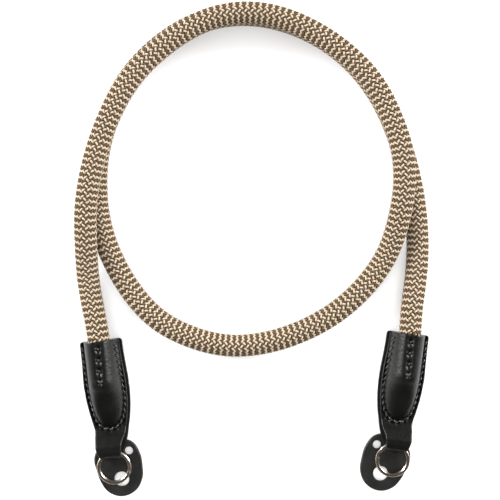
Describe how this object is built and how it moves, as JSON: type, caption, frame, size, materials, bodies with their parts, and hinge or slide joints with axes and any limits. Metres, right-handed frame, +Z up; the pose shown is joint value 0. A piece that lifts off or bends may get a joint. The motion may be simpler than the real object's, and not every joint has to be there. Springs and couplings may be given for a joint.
{
  "type": "camera strap",
  "caption": "Coiled round braided camera strap with stitched leather end sleeves, split rings and oval leather guards.",
  "frame": {"origin": "middle of the two leather ends, on the surface that the strap lies on", "axes": "+X from the left end to the right end, +Y from the rings towards the top of the coil, +Z up"},
  "size_m": [0.1642, 0.2299, 0.0215],
  "materials": {
    "braided_rope": "matt two-tone braid, beige and brown",
    "black_leather": "satin, fine grain, stitched",
    "ring_steel": "polished, slightly warm"
  },
  "bodies": {
    "root": {"rope": "braided_rope", "left_sleeve": "black_leather", "right_sleeve": "black_leather", "left_ring": "ring_steel", "right_ring": "ring_steel", "left_guard": "black_leather", "right_guard": "black_leather"}
  },
  "joints": []
}
